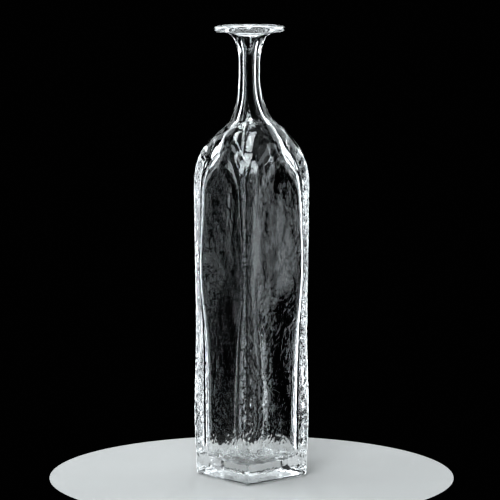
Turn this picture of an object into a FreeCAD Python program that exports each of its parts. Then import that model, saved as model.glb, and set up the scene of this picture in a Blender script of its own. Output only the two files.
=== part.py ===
"""A square glass wine decanter with a slender neck and a wide flat lip.

Millimetres, +Z up. The origin is on the surface that it stands on, under the axis of the neck.
The four flat faces of the body are square to X and Y.
The glass is one fused run, kept as five solids that meet face to face:
base_slab, body_shell, shoulder_dome, neck_tube and lip_ring.
"""

import FreeCAD, Part
import math
import os

HEIGHT = 400.0

# Where the solids meet
FLOOR_Z = 17.0            # inside floor of the body, where the solid base ends
MOULD_LINE_Z = 300.5      # top of the mould-blown body, just above its four flat faces
NECK_JOINT_Z = 314.5      # ring where the neck is joined to the shoulder
LIP_JOINT_RADIUS = 25.5   # where the thick lip meets the flared disc

# Outside of the body: level and half of the width across the flats, waisted in the middle
BODY_LEVELS = [
    (0.0, 35.7),
    (45.0, 37.1),
    (130.0, 36.2),
    (190.0, 36.7),
    (250.0, 37.2),
    (330.0, 37.2),
]
BODY_CORNER_RADIUS = 4.0
FOOT_ROUNDING = 3.4

# Inside of the body: level, half width, corner radius. The glass is thicker low down
CAVITY_LEVELS = [
    (FLOOR_Z, 31.4, 15.0),
    (75.0, 32.0, 16.0),
    (120.0, 32.0, 13.0),
    (185.0, 32.6, 5.0),
    (250.0, 33.0, 10.0),
    (320.0, 33.0, 10.0),
]
FLOOR_ROUNDING = 7.0

# Outside of the shoulder: an arc turned about Z, upright where it springs from the corners
DOME_SPRING_Z = 262.0
DOME_SPRING_RADIUS = 51.0
DOME_ARC_RADIUS = 60.0

# Inside of the shoulder: a long slack arc turned about Z, through its foot and its top
VAULT_FOOT_Z = 270.0
VAULT_FOOT_RADIUS = 41.8
VAULT_TOP_RADIUS = 13.0
VAULT_ARC_RADIUS = 170.0

# Neck: a slender tube that flares down to the shoulder and up to the lip
NECK_RADIUS = 9.3
NECK_WAIST_LOW_Z = 357.0
NECK_WAIST_HIGH_Z = 366.0
SKIRT_ARC_RADIUS = 90.0
TRUMPET_ARC_RADIUS = 56.0
TRUMPET_TURN_Z = 388.0
TRUMPET_TURN_RADIUS = 9.0
DISC_UNDERSIDE_SLOPE = math.radians(5.0)

# Bore: a true cylinder in the waist of the neck, a flare below it and a funnel above
BORE_RADIUS = 4.6
BORE_LOW_Z = 350.0
BORE_HIGH_Z = 375.0
FUNNEL_RIM_DROP = 0.8

# Lip: the thick edge of the disc, fully round outside
LIP_RADIUS = 31.1
LIP_EDGE_RADIUS = 2.9

# Dish ground into the underside where the blower's rod was broken off
DISH_RADIUS = 14.0
DISH_DEPTH = 1.2


def point(radius, z):
    return FreeCAD.Vector(radius, 0, z)


def line(start, end):
    return Part.LineSegment(point(*start), point(*end)).toShape()


def arc(points):
    return Part.Arc(*[point(*place) for place in points]).toShape()


def turned(edges):
    """The solid swept by a closed outline in the XZ plane as it turns about Z."""
    return Part.Face(Part.Wire(edges)).revolve(FreeCAD.Vector(0, 0, 0), FreeCAD.Vector(0, 0, 1), 360)


def upright_arc(spring, radius, side, end_z):
    """Three points of an arc that is upright at spring and ends at height end_z.

    side is -1 where the arc leans to the axis and +1 where it leans away from it.
    """
    points = [spring]
    for part in (0.5, 1.0):
        rise = part * (end_z - spring[1])
        lean = radius - math.sqrt(radius ** 2 - rise ** 2)
        points.append((spring[0] + side * lean, spring[1] + rise))
    return points


def radius_through(spring, end):
    """The radius of an arc that is upright at spring and passes through end."""
    run = abs(end[0] - spring[0])
    rise = abs(end[1] - spring[1])
    return (run ** 2 + rise ** 2) / (2 * run)


def dome_arc(start_z, end_z):
    """The outside of the shoulder between two heights."""
    points = []
    for z in (start_z, (start_z + end_z) / 2, end_z):
        rise = z - DOME_SPRING_Z
        lean = DOME_ARC_RADIUS - math.sqrt(DOME_ARC_RADIUS ** 2 - rise ** 2)
        points.append((DOME_SPRING_RADIUS - lean, z))
    return points


def vault_centre():
    """The centre of the vault's arc, as radius and height."""
    run = VAULT_FOOT_RADIUS - VAULT_TOP_RADIUS
    rise = NECK_JOINT_Z - VAULT_FOOT_Z
    chord = math.hypot(run, rise)
    depth = math.sqrt(VAULT_ARC_RADIUS ** 2 - chord ** 2 / 4)
    centre_radius = (VAULT_FOOT_RADIUS + VAULT_TOP_RADIUS) / 2 - depth * rise / chord
    centre_z = (VAULT_FOOT_Z + NECK_JOINT_Z) / 2 - depth * run / chord
    return centre_radius, centre_z


def vault_arc(start_z, end_z):
    """The inside of the shoulder between two heights."""
    centre_radius, centre_z = vault_centre()
    points = []
    for z in (start_z, (start_z + end_z) / 2, end_z):
        reach = math.sqrt(VAULT_ARC_RADIUS ** 2 - (z - centre_z) ** 2)
        points.append((centre_radius + reach, z))
    return points


def rounded_square(half_width, corner_radius, z):
    """A square wire with round corners, its sides square to X and Y."""
    flat = half_width - corner_radius
    diagonal = flat + corner_radius * math.sqrt(0.5)
    edges = []
    for quarter in range(4):
        turn = FreeCAD.Rotation(FreeCAD.Vector(0, 0, 1), 90 * quarter)
        side_start = turn.multVec(FreeCAD.Vector(half_width, -flat, z))
        side_end = turn.multVec(FreeCAD.Vector(half_width, flat, z))
        corner_middle = turn.multVec(FreeCAD.Vector(diagonal, diagonal, z))
        corner_end = turn.multVec(FreeCAD.Vector(flat, half_width, z))
        edges.append(Part.LineSegment(side_start, side_end).toShape())
        edges.append(Part.Arc(side_end, corner_middle, corner_end).toShape())
    return Part.Wire(edges)


def column(levels):
    """A smooth square column through levels of height, half width and corner radius."""
    wires = [rounded_square(half_width, corner, z) for z, half_width, corner in levels]
    return Part.makeLoft(wires, True, False)


def round_foot(solid, radius):
    """The solid with the edges of its lowest face rounded."""
    foot_z = solid.BoundBox.ZMin
    edges = [edge for edge in solid.Edges if edge.BoundBox.ZMax - foot_z < 0.01]
    return solid.makeFillet(radius, edges)


def slab(low_z, high_z):
    """A block wider than the decanter between two heights."""
    half = 2 * DOME_SPRING_RADIUS
    return Part.makeBox(2 * half, 2 * half, high_z - low_z, FreeCAD.Vector(-half, -half, low_z))


def body_column():
    """The square column that the mould gives the body, before the shoulder rounds its top."""
    levels = [(z, half_width, BODY_CORNER_RADIUS) for z, half_width in BODY_LEVELS]
    return round_foot(column(levels), FOOT_ROUNDING)


def shoulder_cutter(arc_points):
    """A turned solid, wide below the arc, whose top narrows along the arc."""
    wide = 2 * DOME_SPRING_RADIUS
    start = arc_points[0]
    top = arc_points[-1]
    return turned([
        line((0, 0), (wide, 0)),
        line((wide, 0), (wide, start[1])),
        line((wide, start[1]), start),
        arc(arc_points),
        line(top, (0, top[1])),
        line((0, top[1]), (0, 0)),
    ])


def make_base_slab():
    """The thick solid bottom, with the dish ground into its underside."""
    solid = body_column().common(slab(0, FLOOR_Z))
    ball_radius = (DISH_RADIUS ** 2 + DISH_DEPTH ** 2) / (2 * DISH_DEPTH)
    ball = Part.makeSphere(ball_radius, FreeCAD.Vector(0, 0, DISH_DEPTH - ball_radius))
    return solid.cut(ball)


def make_body_shell():
    """The four waisted walls, closed in by the start of the shoulder."""
    outside = body_column().common(slab(FLOOR_Z, MOULD_LINE_Z))
    outside = outside.common(shoulder_cutter(dome_arc(DOME_SPRING_Z, NECK_JOINT_Z)))
    inside = round_foot(column(CAVITY_LEVELS), FLOOR_ROUNDING)
    inside = inside.common(shoulder_cutter(vault_arc(DOME_SPRING_Z, NECK_JOINT_Z)))
    return outside.cut(inside)


def make_shoulder_dome():
    """The turned shoulder between the mould line and the foot of the neck."""
    outside = dome_arc(MOULD_LINE_Z, NECK_JOINT_Z)
    inside = vault_arc(MOULD_LINE_Z, NECK_JOINT_Z)
    return turned([
        arc(outside),
        line(outside[-1], inside[-1]),
        arc(inside),
        line(inside[0], outside[0]),
    ])


def trumpet_turn():
    """Start, middle and end of the tight arc from the trumpet to the disc's underside."""
    lean = math.asin((TRUMPET_TURN_Z - NECK_WAIST_HIGH_Z) / TRUMPET_ARC_RADIUS)
    start_radius = NECK_RADIUS + TRUMPET_ARC_RADIUS * (1 - math.cos(lean))
    last = math.pi / 2 - DISC_UNDERSIDE_SLOPE
    points = []
    for angle in (lean, (lean + last) / 2, last):
        run = TRUMPET_TURN_RADIUS * (math.cos(lean) - math.cos(angle))
        rise = TRUMPET_TURN_RADIUS * (math.sin(angle) - math.sin(lean))
        points.append((start_radius + run, TRUMPET_TURN_Z + rise))
    return points


def disc_underside(radius):
    """A point of the disc's sloping underside."""
    start = trumpet_turn()[-1]
    return (radius, start[1] + (radius - start[0]) * math.tan(DISC_UNDERSIDE_SLOPE))


def funnel_edge():
    """The funnel above the bore: a quarter ellipse, level at the lip and upright at the bore."""
    rim_z = HEIGHT - FUNNEL_RIM_DROP
    ellipse = Part.Ellipse(
        point(LIP_JOINT_RADIUS, rim_z),
        point(BORE_RADIUS, BORE_HIGH_Z),
        point(LIP_JOINT_RADIUS, BORE_HIGH_Z),
    )
    return Part.ArcOfEllipse(ellipse, 0, math.pi / 2).toShape()


def make_neck_tube():
    """The drawn neck with its skirt below, its trumpet and flared disc above, and its bore."""
    skirt = upright_arc((NECK_RADIUS, NECK_WAIST_LOW_Z), SKIRT_ARC_RADIUS, 1, NECK_JOINT_Z)
    trumpet = upright_arc((NECK_RADIUS, NECK_WAIST_HIGH_Z), TRUMPET_ARC_RADIUS, 1, TRUMPET_TURN_Z)
    turn = trumpet_turn()
    disc_edge = disc_underside(LIP_JOINT_RADIUS)
    rim = (LIP_JOINT_RADIUS, HEIGHT - FUNNEL_RIM_DROP)
    bore_low = (BORE_RADIUS, BORE_LOW_Z)
    flare_radius = radius_through(bore_low, (VAULT_TOP_RADIUS, NECK_JOINT_Z))
    flare = upright_arc(bore_low, flare_radius, 1, NECK_JOINT_Z)
    return turned([
        arc(skirt[::-1]),
        line(skirt[0], trumpet[0]),
        arc(trumpet),
        arc(turn),
        line(turn[-1], disc_edge),
        line(disc_edge, rim),
        funnel_edge(),
        line((BORE_RADIUS, BORE_HIGH_Z), bore_low),
        arc(flare),
        line(flare[-1], skirt[-1]),
    ])


def make_lip_ring():
    """The thick round edge of the disc."""
    centre_radius = LIP_RADIUS - LIP_EDGE_RADIUS
    centre_z = HEIGHT - LIP_EDGE_RADIUS
    under = (centre_radius, HEIGHT - 2 * LIP_EDGE_RADIUS)
    top = (centre_radius, HEIGHT)
    rim = (LIP_JOINT_RADIUS, HEIGHT - FUNNEL_RIM_DROP)
    disc_edge = disc_underside(LIP_JOINT_RADIUS)
    return turned([
        line(disc_edge, under),
        arc([under, (LIP_RADIUS, centre_z), top]),
        line(top, rim),
        line(rim, disc_edge),
    ])


PARTS = {
    "base_slab": make_base_slab,
    "body_shell": make_body_shell,
    "shoulder_dome": make_shoulder_dome,
    "neck_tube": make_neck_tube,
    "lip_ring": make_lip_ring,
}

os.makedirs("parts", exist_ok=True)
for name, make in PARTS.items():
    shape = make()
    shape.exportStep("parts/" + name + ".step")
    box = shape.optimalBoundingBox()
    print(name, shape.ShapeType, len(shape.Solids), "solid", shape.isValid(),
          "volume", round(shape.Volume / 1000, 1), "ml",
          "z", round(box.ZMin, 2), round(box.ZMax, 2), "x", round(box.XMin, 2), round(box.XMax, 2))
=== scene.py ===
"""The looks of the glass decanter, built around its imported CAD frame.

Metres, in the frame of the CAD model. One surface runs from the middle of the underside up the
outside of the glass, over the lip, down the bore and round the inside to the middle of its floor.
It is a stack of closed rings, and it is cut at the CAD joints into one closed piece for each node.
"""

import math

import bpy
import numpy as np
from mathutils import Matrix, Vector, noise


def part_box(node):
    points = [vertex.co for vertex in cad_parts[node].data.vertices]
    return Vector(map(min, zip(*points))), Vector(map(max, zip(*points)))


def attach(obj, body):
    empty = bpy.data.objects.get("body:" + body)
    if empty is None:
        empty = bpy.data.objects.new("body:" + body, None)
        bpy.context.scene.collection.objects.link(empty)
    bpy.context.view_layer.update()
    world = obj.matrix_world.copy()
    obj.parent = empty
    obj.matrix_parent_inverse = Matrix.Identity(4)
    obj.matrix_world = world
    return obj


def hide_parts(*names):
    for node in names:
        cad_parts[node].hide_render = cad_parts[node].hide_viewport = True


MM = 0.001

# ---------------------------------------------------------------- what the frame gives

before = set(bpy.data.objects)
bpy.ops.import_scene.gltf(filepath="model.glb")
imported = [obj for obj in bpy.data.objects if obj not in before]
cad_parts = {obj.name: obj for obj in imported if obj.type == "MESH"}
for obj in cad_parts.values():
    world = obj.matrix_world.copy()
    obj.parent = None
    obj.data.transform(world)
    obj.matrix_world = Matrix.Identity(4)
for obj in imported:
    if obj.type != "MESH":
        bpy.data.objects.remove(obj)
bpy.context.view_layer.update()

BASE_TOP_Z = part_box("base_slab")[1].z
MOULD_LINE_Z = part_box("body_shell")[1].z
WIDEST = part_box("body_shell")[1].x
NECK_JOINT_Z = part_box("shoulder_dome")[1].z
RIM_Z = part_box("neck_tube")[1].z
LIP_JOINT_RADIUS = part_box("neck_tube")[1].x
LIP_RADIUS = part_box("lip_ring")[1].x
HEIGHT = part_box("lip_ring")[1].z

# ---------------------------------------------------------------- the design's own sizes

# Outside of the body: level, half width
BODY_LEVELS = [
    (0 * MM, 35.7 * MM),
    (45 * MM, 37.1 * MM),
    (130 * MM, 36.2 * MM),
    (190 * MM, 36.7 * MM),
    (250 * MM, 37.2 * MM),
    (330 * MM, 37.2 * MM),
]
BODY_CORNER = 4 * MM
FOOT_ROUNDING = 3.4 * MM

# Inside of the body: level, half width, corner radius
CAVITY_LEVELS = [
    (BASE_TOP_Z, 31.4 * MM, 15 * MM),
    (75 * MM, 32.0 * MM, 16 * MM),
    (120 * MM, 32.0 * MM, 13 * MM),
    (185 * MM, 32.6 * MM, 5 * MM),
    (250 * MM, 33.0 * MM, 10 * MM),
    (320 * MM, 33.0 * MM, 10 * MM),
]
FLOOR_ROUNDING = 7 * MM

DOME_SPRING = (51 * MM, 262 * MM)
DOME_ARC = 60 * MM
VAULT_FOOT = (41.8 * MM, 270 * MM)
VAULT_TOP_RADIUS = 13 * MM
VAULT_ARC = 170 * MM
VAULT_BLEND = 9 * MM

NECK_RADIUS = 9.3 * MM
WAIST_LOW_Z = 357 * MM
WAIST_HIGH_Z = 366 * MM
SKIRT_ARC = 90 * MM
TRUMPET_ARC = 56 * MM
TRUMPET_TURN_Z = 388 * MM
TRUMPET_TURN_ARC = 9 * MM
TRUMPET_LEAN = math.asin((TRUMPET_TURN_Z - WAIST_HIGH_Z) / TRUMPET_ARC)
DISC_SLOPE = math.radians(5)
LIP_EDGE = 2.9 * MM
BORE_RADIUS = 4.6 * MM
BORE_LOW_Z = 350 * MM
BORE_HIGH_Z = 375 * MM
DISH_RADIUS = 14 * MM
DISH_DEPTH = 1.2 * MM

# What the making leaves behind
BEAD_HEIGHT = 1.3 * MM
BEAD_HALF_HEIGHT = 1.3 * MM
FIN_HEIGHT = 0.15 * MM
MATT_ROUGHNESS = 0.45
BARK_SEED = 2
JOINT_SKEW = 0.06
SKEW_REACH = 12 * MM
NECK_LEAN = 1.8 * MM

# A bubble drawn out to a thread: place across the view, height, distance from the axis, radius
BUBBLE_PATH = [
    (12.4 * MM, 299 * MM, 32.0 * MM, 0.15 * MM),
    (13.6 * MM, 294 * MM, 33.0 * MM, 0.3 * MM),
    (14.8 * MM, 289.4 * MM, 34.0 * MM, 0.4 * MM),
    (17.0 * MM, 285.2 * MM, 35.2 * MM, 2.3 * MM),
    (13.5 * MM, 283.7 * MM, 35.6 * MM, 0.5 * MM),
    (10.9 * MM, 281.1 * MM, 36.0 * MM, 0.4 * MM),
    (9.1 * MM, 279.3 * MM, 36.4 * MM, 0.15 * MM),
]

BUBBLE_SIDES = 16

# ---------------------------------------------------------------- the camera's place and the studio

CAMERA_AZIMUTH = math.radians(48.9)
CAMERA_DISTANCE = 2.252
CAMERA_HEIGHT = 0.4786
CAMERA_TILT = math.radians(7.0)
CAMERA_LENS = 184.9
CAMERA_SIDE = -1.4 * MM
RIGHT = Vector((math.cos(CAMERA_AZIMUTH), math.sin(CAMERA_AZIMUTH), 0))
AHEAD = Vector((-math.sin(CAMERA_AZIMUTH), math.cos(CAMERA_AZIMUTH), 0))

PANEL_DISTANCE = 0.9
STRIP_DISTANCE = 1.2
STRIP_CENTRE_Z = 0.3
LIGHT_COLOUR = (0.91, 0.97, 1.0)
FLOOR_RADIUS = 0.18
FLOOR_SIDES = 128

# Finishes of the glass, in the order of every piece's materials
MATT, BARK, CLEAR, JOINT = range(4)

COLUMNS = 288
CORNER_CROWDING = 0.35


# ---------------------------------------------------------------- outlines

def smooth_through(z, levels, column):
    """A smooth curve through one column of the levels, at the height z."""
    known_z = [level[0] for level in levels]
    known = [level[column] for level in levels]
    slopes = np.gradient(known, known_z)
    index = int(np.clip(np.searchsorted(known_z, z) - 1, 0, len(known_z) - 2))
    span = known_z[index + 1] - known_z[index]
    part = min(max((z - known_z[index]) / span, 0), 1)
    rise = 3 * part ** 2 - 2 * part ** 3
    return ((1 - rise) * known[index] + rise * known[index + 1]
            + (part ** 3 - 2 * part ** 2 + part) * slopes[index] * span
            + (part ** 3 - part ** 2) * slopes[index + 1] * span)


def column_angles():
    """Angles round the axis, closer together at the four corners of the body."""
    even = np.arange(COLUMNS) * 2 * math.pi / COLUMNS
    return even - CORNER_CROWDING / 4 * np.sin(4 * (even - math.pi / 4))


ANGLES = column_angles()
DOME_BLEND = (1.2 + 5 * np.abs(np.cos(2 * ANGLES)) ** 0.6) * MM


def square_ring(half_width, corner):
    """Distances from the axis to a square with round corners."""
    folded = np.abs((ANGLES + math.pi / 4) % (math.pi / 2) - math.pi / 4)
    flat = half_width - corner
    side = half_width / np.cos(folded)
    along = flat * (np.cos(folded) + np.sin(folded))
    reach = np.sqrt(np.maximum(corner ** 2 - 2 * flat ** 2 + along ** 2, 0))
    return np.where(half_width * np.tan(folded) <= flat, side, along + reach)


def round_ring(radius):
    return np.full(COLUMNS, radius)


def soft_min(first, second, softness):
    """The smaller of two distances, with the edge where they cross rounded off."""
    blend = np.clip(0.5 + 0.5 * (second - first) / softness, 0, 1)
    return second * (1 - blend) + first * blend - softness * blend * (1 - blend)


def upright_arc(spring, arc_radius, z, side):
    """Distance from the axis, at height z, of an arc that is upright at its spring."""
    rise = z - spring[1]
    return spring[0] + side * (arc_radius - math.sqrt(arc_radius ** 2 - rise ** 2))


def radius_through(spring, end):
    """The radius of an arc that is upright at spring and passes through end."""
    run = end[0] - spring[0]
    rise = end[1] - spring[1]
    return (run ** 2 + rise ** 2) / (2 * abs(run))


def ease(value, low, high):
    """0 below low, 1 above high, smooth between."""
    part = min(max((value - low) / (high - low), 0), 1)
    return part * part * (3 - 2 * part)


def steps(start, end, spacing):
    """Evenly spaced values from start towards end, without end."""
    count = max(1, round(abs(end - start) / spacing))
    return [start + (end - start) * i / count for i in range(count)]


# ---------------------------------------------------------------- rings, from the outside in

def underside_rings():
    """The dish in the middle of the underside, then the flat ring that the glass stands on."""
    ball = (DISH_RADIUS ** 2 + DISH_DEPTH ** 2) / (2 * DISH_DEPTH)
    rings = []
    for radius in steps(0, DISH_RADIUS, 2 * MM):
        rings.append((DISH_DEPTH - ball + math.sqrt(ball ** 2 - radius ** 2), round_ring(radius)))
    foot = square_ring(BODY_LEVELS[0][1] - FOOT_ROUNDING, BODY_CORNER - FOOT_ROUNDING)
    for part in steps(0, 1, 0.1):
        rings.append((0, (1 - part) * DISH_RADIUS + part * foot))
    return rings


def foot_rings():
    """The rounding between the underside and the walls."""
    rings = []
    for turn in steps(0, math.pi / 2, math.radians(11)):
        z = FOOT_ROUNDING * (1 - math.cos(turn))
        inset = FOOT_ROUNDING * (1 - math.sin(turn))
        rings.append((z, square_ring(smooth_through(z, BODY_LEVELS, 1) - inset, BODY_CORNER - inset)))
    return rings


def outer_ring(z):
    """The mould-blown square, cut by the dome of the shoulder with an edge that softens upwards."""
    square = square_ring(min(smooth_through(z, BODY_LEVELS, 1), WIDEST), BODY_CORNER)
    if z <= DOME_SPRING[1]:
        return square
    softness = DOME_BLEND * ease(z, DOME_SPRING[1], DOME_SPRING[1] + 18 * MM) + 0.1 * MM
    return soft_min(square, upright_arc(DOME_SPRING, DOME_ARC, z, -1), softness)


def wall_rings(low_z, high_z):
    """The outside of the body, going up."""
    return [(z, outer_ring(z)) for z in steps(low_z, high_z, 1.25 * MM)]


def dome_rings():
    """The outside of the shoulder above the mould line."""
    return [(z, outer_ring(z)) for z in steps(MOULD_LINE_Z, NECK_JOINT_Z, 1 * MM)]


def trumpet_turn(turn):
    """Radius and height at one angle of the tight turn from the trumpet to the disc."""
    start = upright_arc((NECK_RADIUS, WAIST_HIGH_Z), TRUMPET_ARC, TRUMPET_TURN_Z, 1)
    radius = start + TRUMPET_TURN_ARC * (math.cos(TRUMPET_LEAN) - math.cos(turn))
    z = TRUMPET_TURN_Z + TRUMPET_TURN_ARC * (math.sin(turn) - math.sin(TRUMPET_LEAN))
    return radius, z


def disc_underside_z(radius):
    """Height of the disc's sloping underside."""
    start, start_z = trumpet_turn(math.pi / 2 - DISC_SLOPE)
    return start_z + (radius - start) * math.tan(DISC_SLOPE)


def neck_rings():
    """The skirt, the waist, the trumpet and its turn to the disc."""
    rings = []
    for z in steps(NECK_JOINT_Z, WAIST_LOW_Z, 1.1 * MM):
        rings.append((z, round_ring(upright_arc((NECK_RADIUS, WAIST_LOW_Z), SKIRT_ARC, z, 1))))
    for z in steps(WAIST_LOW_Z, WAIST_HIGH_Z, 1.5 * MM):
        rings.append((z, round_ring(NECK_RADIUS)))
    for z in steps(WAIST_HIGH_Z, TRUMPET_TURN_Z, 1.1 * MM):
        rings.append((z, round_ring(upright_arc((NECK_RADIUS, WAIST_HIGH_Z), TRUMPET_ARC, z, 1))))
    for turn in steps(TRUMPET_LEAN, math.pi / 2 - DISC_SLOPE, math.radians(6)):
        radius, z = trumpet_turn(turn)
        rings.append((z, round_ring(radius)))
    return rings


def disc_rings():
    """The sloping underside of the disc."""
    start = trumpet_turn(math.pi / 2 - DISC_SLOPE)[0]
    radii = steps(start, LIP_JOINT_RADIUS, 1.05 * MM)
    return [(disc_underside_z(radius), round_ring(radius)) for radius in radii]


def lip_rings():
    """The round edge of the lip, from the disc's underside to the joint on its top."""
    centre_radius = LIP_RADIUS - LIP_EDGE
    centre_z = HEIGHT - LIP_EDGE
    under_z = disc_underside_z(LIP_JOINT_RADIUS)
    rings = []
    for part in steps(0, 1, 0.34):
        radius = LIP_JOINT_RADIUS + (centre_radius - LIP_JOINT_RADIUS) * part
        rings.append((under_z + (HEIGHT - 2 * LIP_EDGE - under_z) * part, round_ring(radius)))
    for turn in steps(-math.pi / 2, math.pi / 2, math.radians(9)):
        z = centre_z + LIP_EDGE * math.sin(turn)
        rings.append((z, round_ring(centre_radius + LIP_EDGE * math.cos(turn))))
    for part in steps(0, 1, 0.34):
        radius = centre_radius + (LIP_JOINT_RADIUS - centre_radius) * part
        rings.append((HEIGHT + (RIM_Z - HEIGHT) * ease(part, 0, 1), round_ring(radius)))
    return rings


def funnel_and_bore_rings():
    """The funnel from the lip down to the bore, the bore, and its flare to the neck's foot."""
    rings = []
    for turn in steps(math.pi / 2, 0, math.radians(4.5)):
        radius = LIP_JOINT_RADIUS - (LIP_JOINT_RADIUS - BORE_RADIUS) * math.cos(turn)
        rings.append((BORE_HIGH_Z + (RIM_Z - BORE_HIGH_Z) * math.sin(turn), round_ring(radius)))
    for z in steps(BORE_HIGH_Z, BORE_LOW_Z, 2.5 * MM):
        rings.append((z, round_ring(BORE_RADIUS)))
    flare = radius_through((BORE_RADIUS, BORE_LOW_Z), (VAULT_TOP_RADIUS, NECK_JOINT_Z))
    for z in steps(BORE_LOW_Z, NECK_JOINT_Z, 1.5 * MM):
        rings.append((z, round_ring(upright_arc((BORE_RADIUS, BORE_LOW_Z), flare, z, 1))))
    return rings


def vault_radius(z):
    """Distance from the axis to the long slack arc of the vault inside the shoulder."""
    run = VAULT_FOOT[0] - VAULT_TOP_RADIUS
    rise = NECK_JOINT_Z - VAULT_FOOT[1]
    chord = math.hypot(run, rise)
    depth = math.sqrt(VAULT_ARC ** 2 - chord ** 2 / 4)
    centre_radius = (VAULT_FOOT[0] + VAULT_TOP_RADIUS) / 2 - depth * rise / chord
    centre_z = (VAULT_FOOT[1] + NECK_JOINT_Z) / 2 - depth * run / chord
    if z < centre_z:
        return centre_radius + VAULT_ARC
    return centre_radius + math.sqrt(VAULT_ARC ** 2 - (z - centre_z) ** 2)


def inner_wall_rings(high_z, low_z):
    """The inside of the shoulder and of the walls, going down."""
    rings = []
    for z in steps(high_z, low_z, 3 * MM):
        half_width = smooth_through(z, CAVITY_LEVELS, 1)
        corner = smooth_through(z, CAVITY_LEVELS, 2)
        rings.append((z, soft_min(square_ring(half_width, corner), vault_radius(z), VAULT_BLEND)))
    return rings


def floor_edge_rings():
    """The rounding between the inner walls and the floor."""
    rings = []
    for turn in steps(math.pi / 2, 0, math.radians(13)):
        z = BASE_TOP_Z + FLOOR_ROUNDING * (1 - math.cos(turn))
        inset = FLOOR_ROUNDING * (1 - math.sin(turn))
        half_width = smooth_through(z, CAVITY_LEVELS, 1) - inset
        corner = smooth_through(z, CAVITY_LEVELS, 2) - inset
        rings.append((z, square_ring(half_width, corner)))
    return rings


def floor_rings():
    """The inner floor, from its edge to its middle."""
    half_width, corner = CAVITY_LEVELS[0][1:]
    edge = square_ring(half_width - FLOOR_ROUNDING, corner - FLOOR_ROUNDING)
    rings = [(BASE_TOP_Z, edge * (1 - part)) for part in steps(0, 1, 1 / 9)]
    return rings + [(BASE_TOP_Z, round_ring(0))]


def all_rings():
    """Every ring in order, and the index of the first ring of each stretch."""
    stretches = [
        ("underside", underside_rings()),
        ("foot", foot_rings()),
        ("base_side", wall_rings(FOOT_ROUNDING, BASE_TOP_Z)),
        ("wall", wall_rings(BASE_TOP_Z, MOULD_LINE_Z)),
        ("dome", dome_rings()),
        ("neck", neck_rings()),
        ("disc", disc_rings()),
        ("lip", lip_rings()),
        ("funnel", funnel_and_bore_rings()),
        ("vault_top", inner_wall_rings(NECK_JOINT_Z, MOULD_LINE_Z)),
        ("inner_wall", inner_wall_rings(MOULD_LINE_Z, BASE_TOP_Z + FLOOR_ROUNDING)),
        ("floor_edge", floor_edge_rings()),
        ("floor", floor_rings()),
    ]
    rings = []
    first = {}
    for name, stretch in stretches:
        first[name] = len(rings)
        rings.extend(stretch)
    return rings, first


# ---------------------------------------------------------------- the surface of the glass

def ring_grid(rings):
    """The points of all rings, as rows by columns by three."""
    grid = np.empty((len(rings), COLUMNS, 3))
    for row, (z, radius) in enumerate(rings):
        grid[row, :, 0] = radius * np.cos(ANGLES)
        grid[row, :, 1] = radius * np.sin(ANGLES)
        grid[row, :, 2] = z
    return grid


def grid_normals(grid):
    """Unit normals that point out of the glass."""
    around = np.roll(grid, -1, axis=1) - np.roll(grid, 1, axis=1)
    along = np.empty_like(grid)
    along[1:-1] = grid[2:] - grid[:-2]
    along[0] = grid[1] - grid[0]
    along[-1] = grid[-1] - grid[-2]
    normals = np.cross(around, along)
    lengths = np.linalg.norm(normals, axis=2, keepdims=True)
    normals = normals / np.maximum(lengths, 1e-15)
    normals[0] = (0, 0, -1)
    normals[-1] = (0, 0, 1)
    return normals


def bark_depth(place):
    """Depth of the patchy bark marks in the outside: long drawn streaks above, curls below."""
    x, y, z = place / MM
    high = ease(z, 110, 250)
    cover = ease(noise.noise(Vector((x / 15, y / 15, z / 50))), -0.25, 0.4 - 0.05 * high)
    patch = (0.22 + 0.08 * high) + (0.45 + 0.25 * high) * cover
    warp = noise.noise_vector(Vector((x / 10, y / 10, z / 15)))
    drawn = noise.noise(Vector((x / 4 + 1.3 * warp.x, y / 4 + 1.3 * warp.y, z / 17 + warp.z)))
    curl = noise.noise(Vector((x / 4.2 + 2.4 * warp.x, y / 4.2 + 2.4 * warp.y, z / 6 + 2.4 * warp.z)))
    grain = noise.noise(Vector((x / 2.4, y / 2.4, z / 3.4)))
    streaks = 0.20 * (1 - abs(drawn)) ** 4
    curls = 0.30 * (1 - abs(curl)) ** 5
    return patch * (streaks * high + curls * (1 - 0.6 * high) + 0.08 * abs(grain)) * MM


def corner_depth(place):
    """Depth of the small pits along the four corners, where the glass met the mould first."""
    x, y, z = place / MM
    from_corner = abs(abs(x) - abs(y)) / math.sqrt(2)
    near = 1 - ease(from_corner, 2.5, 6.5)
    pits = ease(noise.noise(Vector((x / 2.1, y / 2.1, z / 2.9))), -0.1, 0.3)
    return 0.4 * near * pits * ease(z, 20, 60) * MM


def ripple(place):
    """Height of the slow waves on the inside of the walls."""
    x, y, z = place / MM
    slow = noise.noise(Vector((x / 21, y / 21, z / 46)))
    quick = noise.noise(Vector((x / 9, y / 9, z / 17)))
    lump = noise.noise(Vector((x / 7, y / 7, z / 7)))
    lumpy = 1 - ease(z, 20, 30)
    swell = ease(z, 262, 290)
    return (0.45 * slow + (0.12 + 0.04 * swell) * quick + 0.9 * lumpy * lump) * MM


def press_bark(grid, normals, shaped, first):
    """Presses the bark of the mould into the outside of the body, the same at every run."""
    noise.seed_set(BARK_SEED)
    for row in range(first["foot"], first["dome"]):
        z = grid[row, 0, 2]
        strength = (1 - ease(z, MOULD_LINE_Z - 34 * MM, MOULD_LINE_Z - 8 * MM)) * ease(z, 0, 4 * MM)
        if strength > 0:
            for column in range(COLUMNS):
                place = grid[row, column]
                depth = bark_depth(place) + corner_depth(place)
                shaped[row, column] -= normals[row, column] * depth * strength


def ripple_inside(grid, normals, shaped, first):
    """Waves the inside of the body and its floor."""
    for row in range(first["vault_top"], len(grid)):
        for column in range(COLUMNS):
            shaped[row, column] += normals[row, column] * ripple(grid[row, column])


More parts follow.
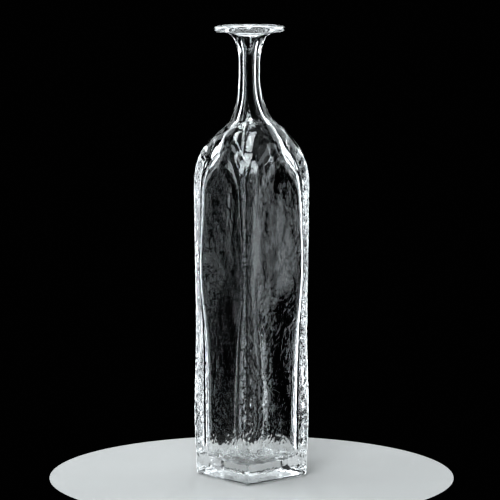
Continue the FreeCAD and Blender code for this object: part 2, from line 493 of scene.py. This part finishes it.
def hollow_underside(grid, shaped, first):
    """The small hollows of a foot that was set down hot. Its outermost ring stays flat."""
    for row in range(first["foot"]):
        depth = 0.5 * MM * ease(first["foot"] - row, 0, 4)
        for column in range(COLUMNS):
            x, y = grid[row, column, :2] / MM
            shaped[row, column, 2] += depth * ease(noise.noise(Vector((x / 5, y / 5, 0))), -0.2, 0.5)


def raise_joints(grid, normals, shaped, first):
    """The fin that the mould leaves at its top, and the uneven bead where the neck was joined on."""
    for row in range(first["dome"] - 2, first["neck"] + 4):
        from_neck = (grid[row, 0, 2] - NECK_JOINT_Z) / BEAD_HALF_HEIGHT
        bead = math.exp(-from_neck ** 2)
        for column in range(COLUMNS):
            turn = Vector((math.cos(ANGLES[column]), math.sin(ANGLES[column]), 0))
            height = BEAD_HEIGHT * bead * (0.7 + 0.6 * noise.noise(turn * 5))
            if row == first["dome"]:
                height += FIN_HEIGHT * ease(noise.noise(turn * 2.3), -0.3, 0.3)
            shaped[row, column] += normals[row, column] * height


def wave_neck(grid, normals, shaped, first):
    """The slow waves of glass that was drawn out by hand."""
    for row in range(first["neck"] + 4, first["disc"]):
        for column in range(COLUMNS):
            x, y, z = grid[row, column] / MM
            wave = 0.14 * MM * noise.noise(Vector((x / 6, y / 6, z / 13)))
            shaped[row, column] += normals[row, column] * wave


def lean_neck(grid, shaped):
    """The neck was drawn by hand: it leans, and its joint with the shoulder lies askew."""
    right = np.array(RIGHT)
    for row in range(len(grid)):
        z = grid[row, 0, 2]
        near_joint = max(0.0, 1 - ((z - NECK_JOINT_Z) / SKEW_REACH) ** 2) ** 2
        shaped[row, :, 2] += JOINT_SKEW * near_joint * (grid[row] @ right)
        shaped[row] -= right * NECK_LEAN * ease(z, 302 * MM, 352 * MM)


def texture_surface(grid, first):
    """The marks that the mould and the maker's hands leave in the glass."""
    normals = grid_normals(grid)
    shaped = grid.copy()
    press_bark(grid, normals, shaped, first)
    ripple_inside(grid, normals, shaped, first)
    hollow_underside(grid, shaped, first)
    raise_joints(grid, normals, shaped, first)
    wave_neck(grid, normals, shaped, first)
    lean_neck(grid, shaped)
    return shaped


def finish_of_rows(first, count):
    """Which finish the glass has between each row and the next."""
    finishes = [CLEAR] * count
    finishes[:first["dome"]] = [BARK] * first["dome"]
    finishes[:first["foot"]] = [MATT] * first["foot"]
    return finishes


def is_pole(grid, row):
    """Whether all points of the row are one point on the axis."""
    return np.ptp(grid[row], axis=0).max() < 1e-9


def points_of_rows(grid, normals, rows):
    """Vertices and their normals, and each row's vertices by column."""
    verts = []
    vert_normals = []
    indices = []
    for row in rows:
        used = 1 if is_pole(grid, row) else COLUMNS
        indices.append([len(verts) + column % used for column in range(COLUMNS)])
        verts.extend(grid[row, :used].tolist())
        vert_normals.extend(normals[row, :used].tolist())
    return verts, vert_normals, indices


def shell_from_rows(grid, normals, finishes, spans):
    """Vertices, their normals, faces and finishes of a closed shell made of spans of rows.

    The faces that join one span to the next are the CAD joints, inside the glass.
    """
    rows = []
    kinds = []
    for low, high in spans:
        rows.extend(range(low, high + 1))
        kinds.extend(finishes[low:high] + [JOINT])
    if is_pole(grid, rows[0]):
        kinds.pop()
    verts, vert_normals, indices = points_of_rows(grid, normals, rows)
    faces = []
    face_kinds = []
    for step, kind in enumerate(kinds):
        lower = indices[step]
        upper = indices[(step + 1) % len(rows)]
        for column in range(COLUMNS):
            beside = (column + 1) % COLUMNS
            corners = [lower[column], lower[beside], upper[beside], upper[column]]
            faces.append(list(dict.fromkeys(corners)))
            face_kinds.append(kind)
    return verts, vert_normals, faces, face_kinds


def bubble_spine():
    """Centres and radii along the bubble and its thread."""
    path = []
    for across, z, from_axis, radius in BUBBLE_PATH:
        depth = math.sqrt(from_axis ** 2 - across ** 2)
        path.append((RIGHT * across - AHEAD * depth + Vector((0, 0, z)), radius))
    spine = []
    for (start, start_radius), (end, end_radius) in zip(path, path[1:]):
        for part in steps(0, 1, 0.2):
            radius = start_radius + (end_radius - start_radius) * ease(part, 0, 1)
            spine.append((start.lerp(end, part), radius))
    return spine


def bubble_shell():
    """A long thread of air with a bubble in it, inside the glass of the shoulder.

    It is the surface of a hole, so its normals point inwards.
    """
    spine = bubble_spine()
    verts = []
    vert_normals = []
    for before, (centre, radius), after in zip(spine, spine[1:], spine[2:]):
        along = (after[0] - before[0]).normalized()
        first_side = AHEAD.cross(along).normalized()
        second_side = along.cross(first_side)
        for side in range(BUBBLE_SIDES):
            turn = side * 2 * math.pi / BUBBLE_SIDES
            outward = first_side * math.cos(turn) + second_side * math.sin(turn)
            verts.append(centre + outward * radius)
            vert_normals.append(-outward)
    last = len(verts) - BUBBLE_SIDES
    faces = []
    for low in range(0, last, BUBBLE_SIDES):
        high = low + BUBBLE_SIDES
        for side in range(BUBBLE_SIDES):
            beside = (side + 1) % BUBBLE_SIDES
            faces.append([low + side, high + side, high + beside, low + beside])
    faces.append(list(range(BUBBLE_SIDES)))
    faces.append([last + side for side in reversed(range(BUBBLE_SIDES))])
    return verts, vert_normals, faces, [CLEAR] * len(faces)


def make_piece(name, shells, materials):
    """One object from closed shells, with one material for each finish."""
    verts = []
    vert_normals = []
    faces = []
    face_kinds = []
    for shell_verts, shell_normals, shell_faces, shell_kinds in shells:
        faces.extend([[len(verts) + corner for corner in face] for face in shell_faces])
        verts.extend(shell_verts)
        vert_normals.extend(shell_normals)
        face_kinds.extend(shell_kinds)
    mesh = bpy.data.meshes.new(name)
    mesh.from_pydata(verts, [], faces)
    for material in materials:
        mesh.materials.append(material)
    mesh.polygons.foreach_set("material_index", np.array(face_kinds, dtype=np.int32))
    mesh.polygons.foreach_set("use_smooth", np.ones(len(faces), dtype=bool))
    mesh.normals_split_custom_set_from_vertices(vert_normals)
    mesh.update()
    piece = bpy.data.objects.new(name, mesh)
    bpy.context.scene.collection.objects.link(piece)
    return piece


# ---------------------------------------------------------------- materials

def new_material(name):
    material = bpy.data.materials.new(name)
    material.use_nodes = True
    nodes = material.node_tree.nodes
    nodes.clear()
    output = nodes.new("ShaderNodeOutputMaterial")
    shader = nodes.new("ShaderNodeBsdfPrincipled")
    material.node_tree.links.new(shader.outputs["BSDF"], output.inputs["Surface"])
    return material, shader


def new_glass(name):
    """Clear glass, smooth until its finish says otherwise."""
    material, shader = new_material(name)
    shader.inputs["Base Color"].default_value = (1, 1, 1, 1)
    shader.inputs["Roughness"].default_value = 0.0
    shader.inputs["IOR"].default_value = 1.52
    shader.inputs["Transmission Weight"].default_value = 1.0
    return material, shader


def drawn_place(material, stretch):
    """Coordinates in which marks come out as many times longer upwards as stretch says."""
    place = material.node_tree.nodes.new("ShaderNodeTexCoord")
    mapping = material.node_tree.nodes.new("ShaderNodeMapping")
    mapping.inputs["Scale"].default_value = (1, 1, 1 / stretch)
    material.node_tree.links.new(place.outputs["Object"], mapping.inputs["Vector"])
    return mapping.outputs["Vector"]


def add_noise(material, place, scale, detail, roughness, swirl):
    texture = material.node_tree.nodes.new("ShaderNodeTexNoise")
    texture.inputs["Scale"].default_value = scale
    texture.inputs["Detail"].default_value = detail
    texture.inputs["Roughness"].default_value = roughness
    texture.inputs["Distortion"].default_value = swirl
    material.node_tree.links.new(place, texture.inputs["Vector"])
    return texture.outputs["Fac"]


def add_haze(material, shader, cloud, haziest):
    """Roughness that drifts with the cloud from none to the haziest."""
    haze = material.node_tree.nodes.new("ShaderNodeMapRange")
    haze.inputs["From Min"].default_value = 0.35
    haze.inputs["From Max"].default_value = 0.75
    haze.inputs["To Min"].default_value = 0.0
    haze.inputs["To Max"].default_value = haziest
    material.node_tree.links.new(cloud, haze.inputs["Value"])
    material.node_tree.links.new(haze.outputs["Result"], shader.inputs["Roughness"])


def add_tint(material, shader, cloud, darkest, lightest):
    """Colour that drifts with the cloud."""
    colours = material.node_tree.nodes.new("ShaderNodeValToRGB")
    colours.color_ramp.elements[0].color = darkest
    colours.color_ramp.elements[1].color = lightest
    material.node_tree.links.new(cloud, colours.inputs["Fac"])
    material.node_tree.links.new(colours.outputs["Color"], shader.inputs["Base Color"])


def add_relief(material, shader, grain, height):
    """A grain too fine to model."""
    relief = material.node_tree.nodes.new("ShaderNodeBump")
    relief.inputs["Strength"].default_value = 1.0
    relief.inputs["Distance"].default_value = height
    material.node_tree.links.new(grain, relief.inputs["Height"])
    material.node_tree.links.new(relief.outputs["Normal"], shader.inputs["Normal"])


def bark_glass():
    """The outside of the body, chilled against the burnt wood of its mould."""
    material, shader = new_glass("bark_glass")
    place = drawn_place(material, 2.2)
    cloud = add_noise(material, place, 130, 6, 0.65, 0)
    grain = add_noise(material, place, 240, 1, 0.6, 1.6)
    add_haze(material, shader, cloud, 0.01)
    add_tint(material, shader, cloud, (0.97, 0.985, 0.99, 1), (0.995, 1, 1, 1))
    add_relief(material, shader, grain, 0.07 * MM)
    return material


def clear_glass():
    """Fire-polished glass, smooth to the touch."""
    material, shader = new_glass("clear_glass")
    place = drawn_place(material, 1.5)
    cloud = add_noise(material, place, 130, 6, 0.65, 0)
    grain = add_noise(material, place, 450, 1, 0.6, 0)
    add_haze(material, shader, cloud, 0.004)
    add_tint(material, shader, cloud, (0.985, 0.995, 0.995, 1), (1, 1, 1, 1))
    add_relief(material, shader, grain, 0.002 * MM)
    return material


def matt_glass():
    """The underside, left matt where the hot glass was set down."""
    material, shader = new_glass("matt_glass")
    shader.inputs["Roughness"].default_value = MATT_ROUGHNESS
    return material


def joint_material():
    """The fused joints inside the glass can't be seen."""
    material, shader = new_material("fused_joint")
    shader.inputs["Alpha"].default_value = 0.0
    return material


def floor_material():
    material, shader = new_material("pale_floor")
    shader.inputs["Base Color"].default_value = (0.56, 0.55, 0.54, 1)
    shader.inputs["Roughness"].default_value = 0.45
    return material


# ---------------------------------------------------------------- the pieces of glass

def build_glass():
    """The five pieces, cut from one surface at the joints of the CAD solids."""
    rings, first = all_rings()
    grid = texture_surface(ring_grid(rings), first)
    normals = grid_normals(grid)
    finishes = finish_of_rows(first, len(rings))
    materials = [matt_glass(), bark_glass(), clear_glass(), joint_material()]
    first["end"] = len(rings) - 1
    plan = [
        ("glass_base", "base_slab", [("underside", "wall"), ("floor", "end")]),
        ("glass_body", "body_shell", [("wall", "dome"), ("inner_wall", "floor")]),
        ("glass_shoulder", "shoulder_dome", [("dome", "neck"), ("vault_top", "inner_wall")]),
        ("glass_neck", "neck_tube", [("neck", "lip"), ("funnel", "vault_top")]),
        ("glass_lip", "lip_ring", [("lip", "funnel")]),
    ]
    for name, node, stretches in plan:
        spans = [(first[low], first[high]) for low, high in stretches]
        shells = [shell_from_rows(grid, normals, finishes, spans)]
        if node == "body_shell":
            shells.append(bubble_shell())
        piece = make_piece(name, shells, materials)
        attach(piece, "root")
        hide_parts(node)


# ---------------------------------------------------------------- the studio

def aim(thing, target):
    direction = Vector(target) - thing.location
    thing.rotation_euler = direction.to_track_quat("-Z", "Y").to_euler()


def add_camera():
    data = bpy.data.cameras.new("camera")
    data.lens = CAMERA_LENS
    camera = bpy.data.objects.new("camera", data)
    bpy.context.scene.collection.objects.link(camera)
    camera.location = RIGHT * CAMERA_SIDE - AHEAD * CAMERA_DISTANCE + Vector((0, 0, CAMERA_HEIGHT))
    aim(camera, camera.location + AHEAD * math.cos(CAMERA_TILT) - Vector((0, 0, math.sin(CAMERA_TILT))))
    bpy.context.scene.camera = camera


def add_floor():
    """A plain round table top, a hair below the glass."""
    verts = []
    for side in range(FLOOR_SIDES):
        turn = side * 2 * math.pi / FLOOR_SIDES
        verts.append((FLOOR_RADIUS * math.cos(turn), FLOOR_RADIUS * math.sin(turn), -0.2 * MM))
    mesh = bpy.data.meshes.new("floor")
    mesh.from_pydata(verts, [], [list(range(FLOOR_SIDES))])
    mesh.materials.append(floor_material())
    floor = bpy.data.objects.new("floor", mesh)
    bpy.context.scene.collection.objects.link(floor)


def add_softbox(name, place, target, width, height, radiance):
    """A soft rectangular light of an even radiance, hidden from the camera itself."""
    data = bpy.data.lights.new(name, "AREA")
    data.shape = "RECTANGLE"
    data.size = width
    data.size_y = height
    data.energy = radiance * math.pi * width * height
    data.color = LIGHT_COLOUR
    lamp = bpy.data.objects.new(name, data)
    bpy.context.scene.collection.objects.link(lamp)
    lamp.location = place
    aim(lamp, target)
    lamp.visible_camera = False


def add_side_panel(name, side, turns, heights, radiance):
    """An upright panel beside the glass, between two directions, in degrees from straight ahead."""
    ends = []
    for turn in (math.radians(turns[0]), math.radians(turns[1])):
        ends.append((AHEAD * math.cos(turn) + side * math.sin(turn)) * PANEL_DISTANCE)
    middle = (ends[0] + ends[1]) / 2
    width = (ends[1] - ends[0]).length
    place = middle + Vector((0, 0, (heights[0] + heights[1]) / 2))
    add_softbox(name, place, place - middle, width, heights[1] - heights[0], radiance)


def add_strip(name, front, side, path, width, radiance):
    """A chain of square lights over the glass along a path of directions from it.

    A direction is a turn from front towards side and a rise above the table, in degrees.
    """
    reaches = []
    for turn, rise in path:
        flat = front * math.cos(math.radians(turn)) + side * math.sin(math.radians(turn))
        up = Vector((0, 0, math.sin(math.radians(rise))))
        reaches.append(flat * math.cos(math.radians(rise)) + up)
    centre = Vector((0, 0, STRIP_CENTRE_Z))
    for number, (start, end) in enumerate(zip(reaches, reaches[1:])):
        count = max(1, round(STRIP_DISTANCE * (end - start).length / width))
        for step in range(count):
            reach = start.slerp(end, (step + 0.5) / count)
            lamp = name + "_" + str(number) + "_" + str(step)
            add_softbox(lamp, centre + reach * STRIP_DISTANCE, centre, width, width, radiance)


def add_side_panels():
    """Bright panels on both sides, with gaps where the flat faces would mirror them into the camera."""
    low = (-0.4, 0.22)
    middle = (0.22, 0.95)
    high = (0.58, 1.4)
    for level, heights, back, front in (("low", low, 2.2, 2.0), ("middle", middle, 1.8, 1.8)):
        add_side_panel(level + "_right_panel", RIGHT, (55, 84), heights, back)
        add_side_panel(level + "_right_front_panel", RIGHT, (102, 111), heights, front)
        add_side_panel(level + "_left_panel", -RIGHT, (55, 70), heights, back)
        add_side_panel(level + "_left_front_panel", -RIGHT, (97, 106), heights, 2 * front)
    add_side_panel("right_haze_panel", RIGHT, (97.1, 102), (0.03, 0.15), 1.3)
    for name, across in (("right", RIGHT), ("left", -RIGHT)):
        add_side_panel(name + "_back_panel", across, (28, 60), high, 1.4)


def add_overhead_lights():
    """The lights over the glass. Their reflections are the short streaks on the shoulder and skirt."""
    add_strip("top_panel", AHEAD, RIGHT, [(0, 24), (0, 62)], 0.5, 1.7)
    add_strip("front_sliver", -AHEAD, -RIGHT, [(10, 31), (10, 40)], 0.06, 9)
    add_strip("front_box", -AHEAD, -RIGHT, [(-2, 46), (22, 46)], 0.2, 9)
    add_strip("front_strip", -AHEAD, -RIGHT, [(10, 54), (10, 98)], 0.24, 9)
    over = [(140, 61), (118, 64), (84, 62), (45, 52), (20, 36)]
    add_strip("side_strip", -AHEAD, -RIGHT, over, 0.15, 9)


def add_world():
    world = bpy.data.worlds.new("studio")
    world.use_nodes = True
    world.node_tree.nodes["Background"].inputs["Color"].default_value = (0.0012, 0.0012, 0.0012, 1)
    bpy.context.scene.world = world


def set_up_render():
    """Enough bounces for thick glass, and the contrast of a studio print."""
    scene = bpy.context.scene
    scene.cycles.transmission_bounces = 40
    scene.cycles.glossy_bounces = 40
    scene.cycles.max_bounces = 48
    scene.cycles.transparent_max_bounces = 24
    scene.view_settings.view_transform = "Standard"
    scene.view_settings.look = "High Contrast"


build_glass()
add_camera()
add_floor()
add_side_panels()
add_overhead_lights()
add_world()
set_up_render()
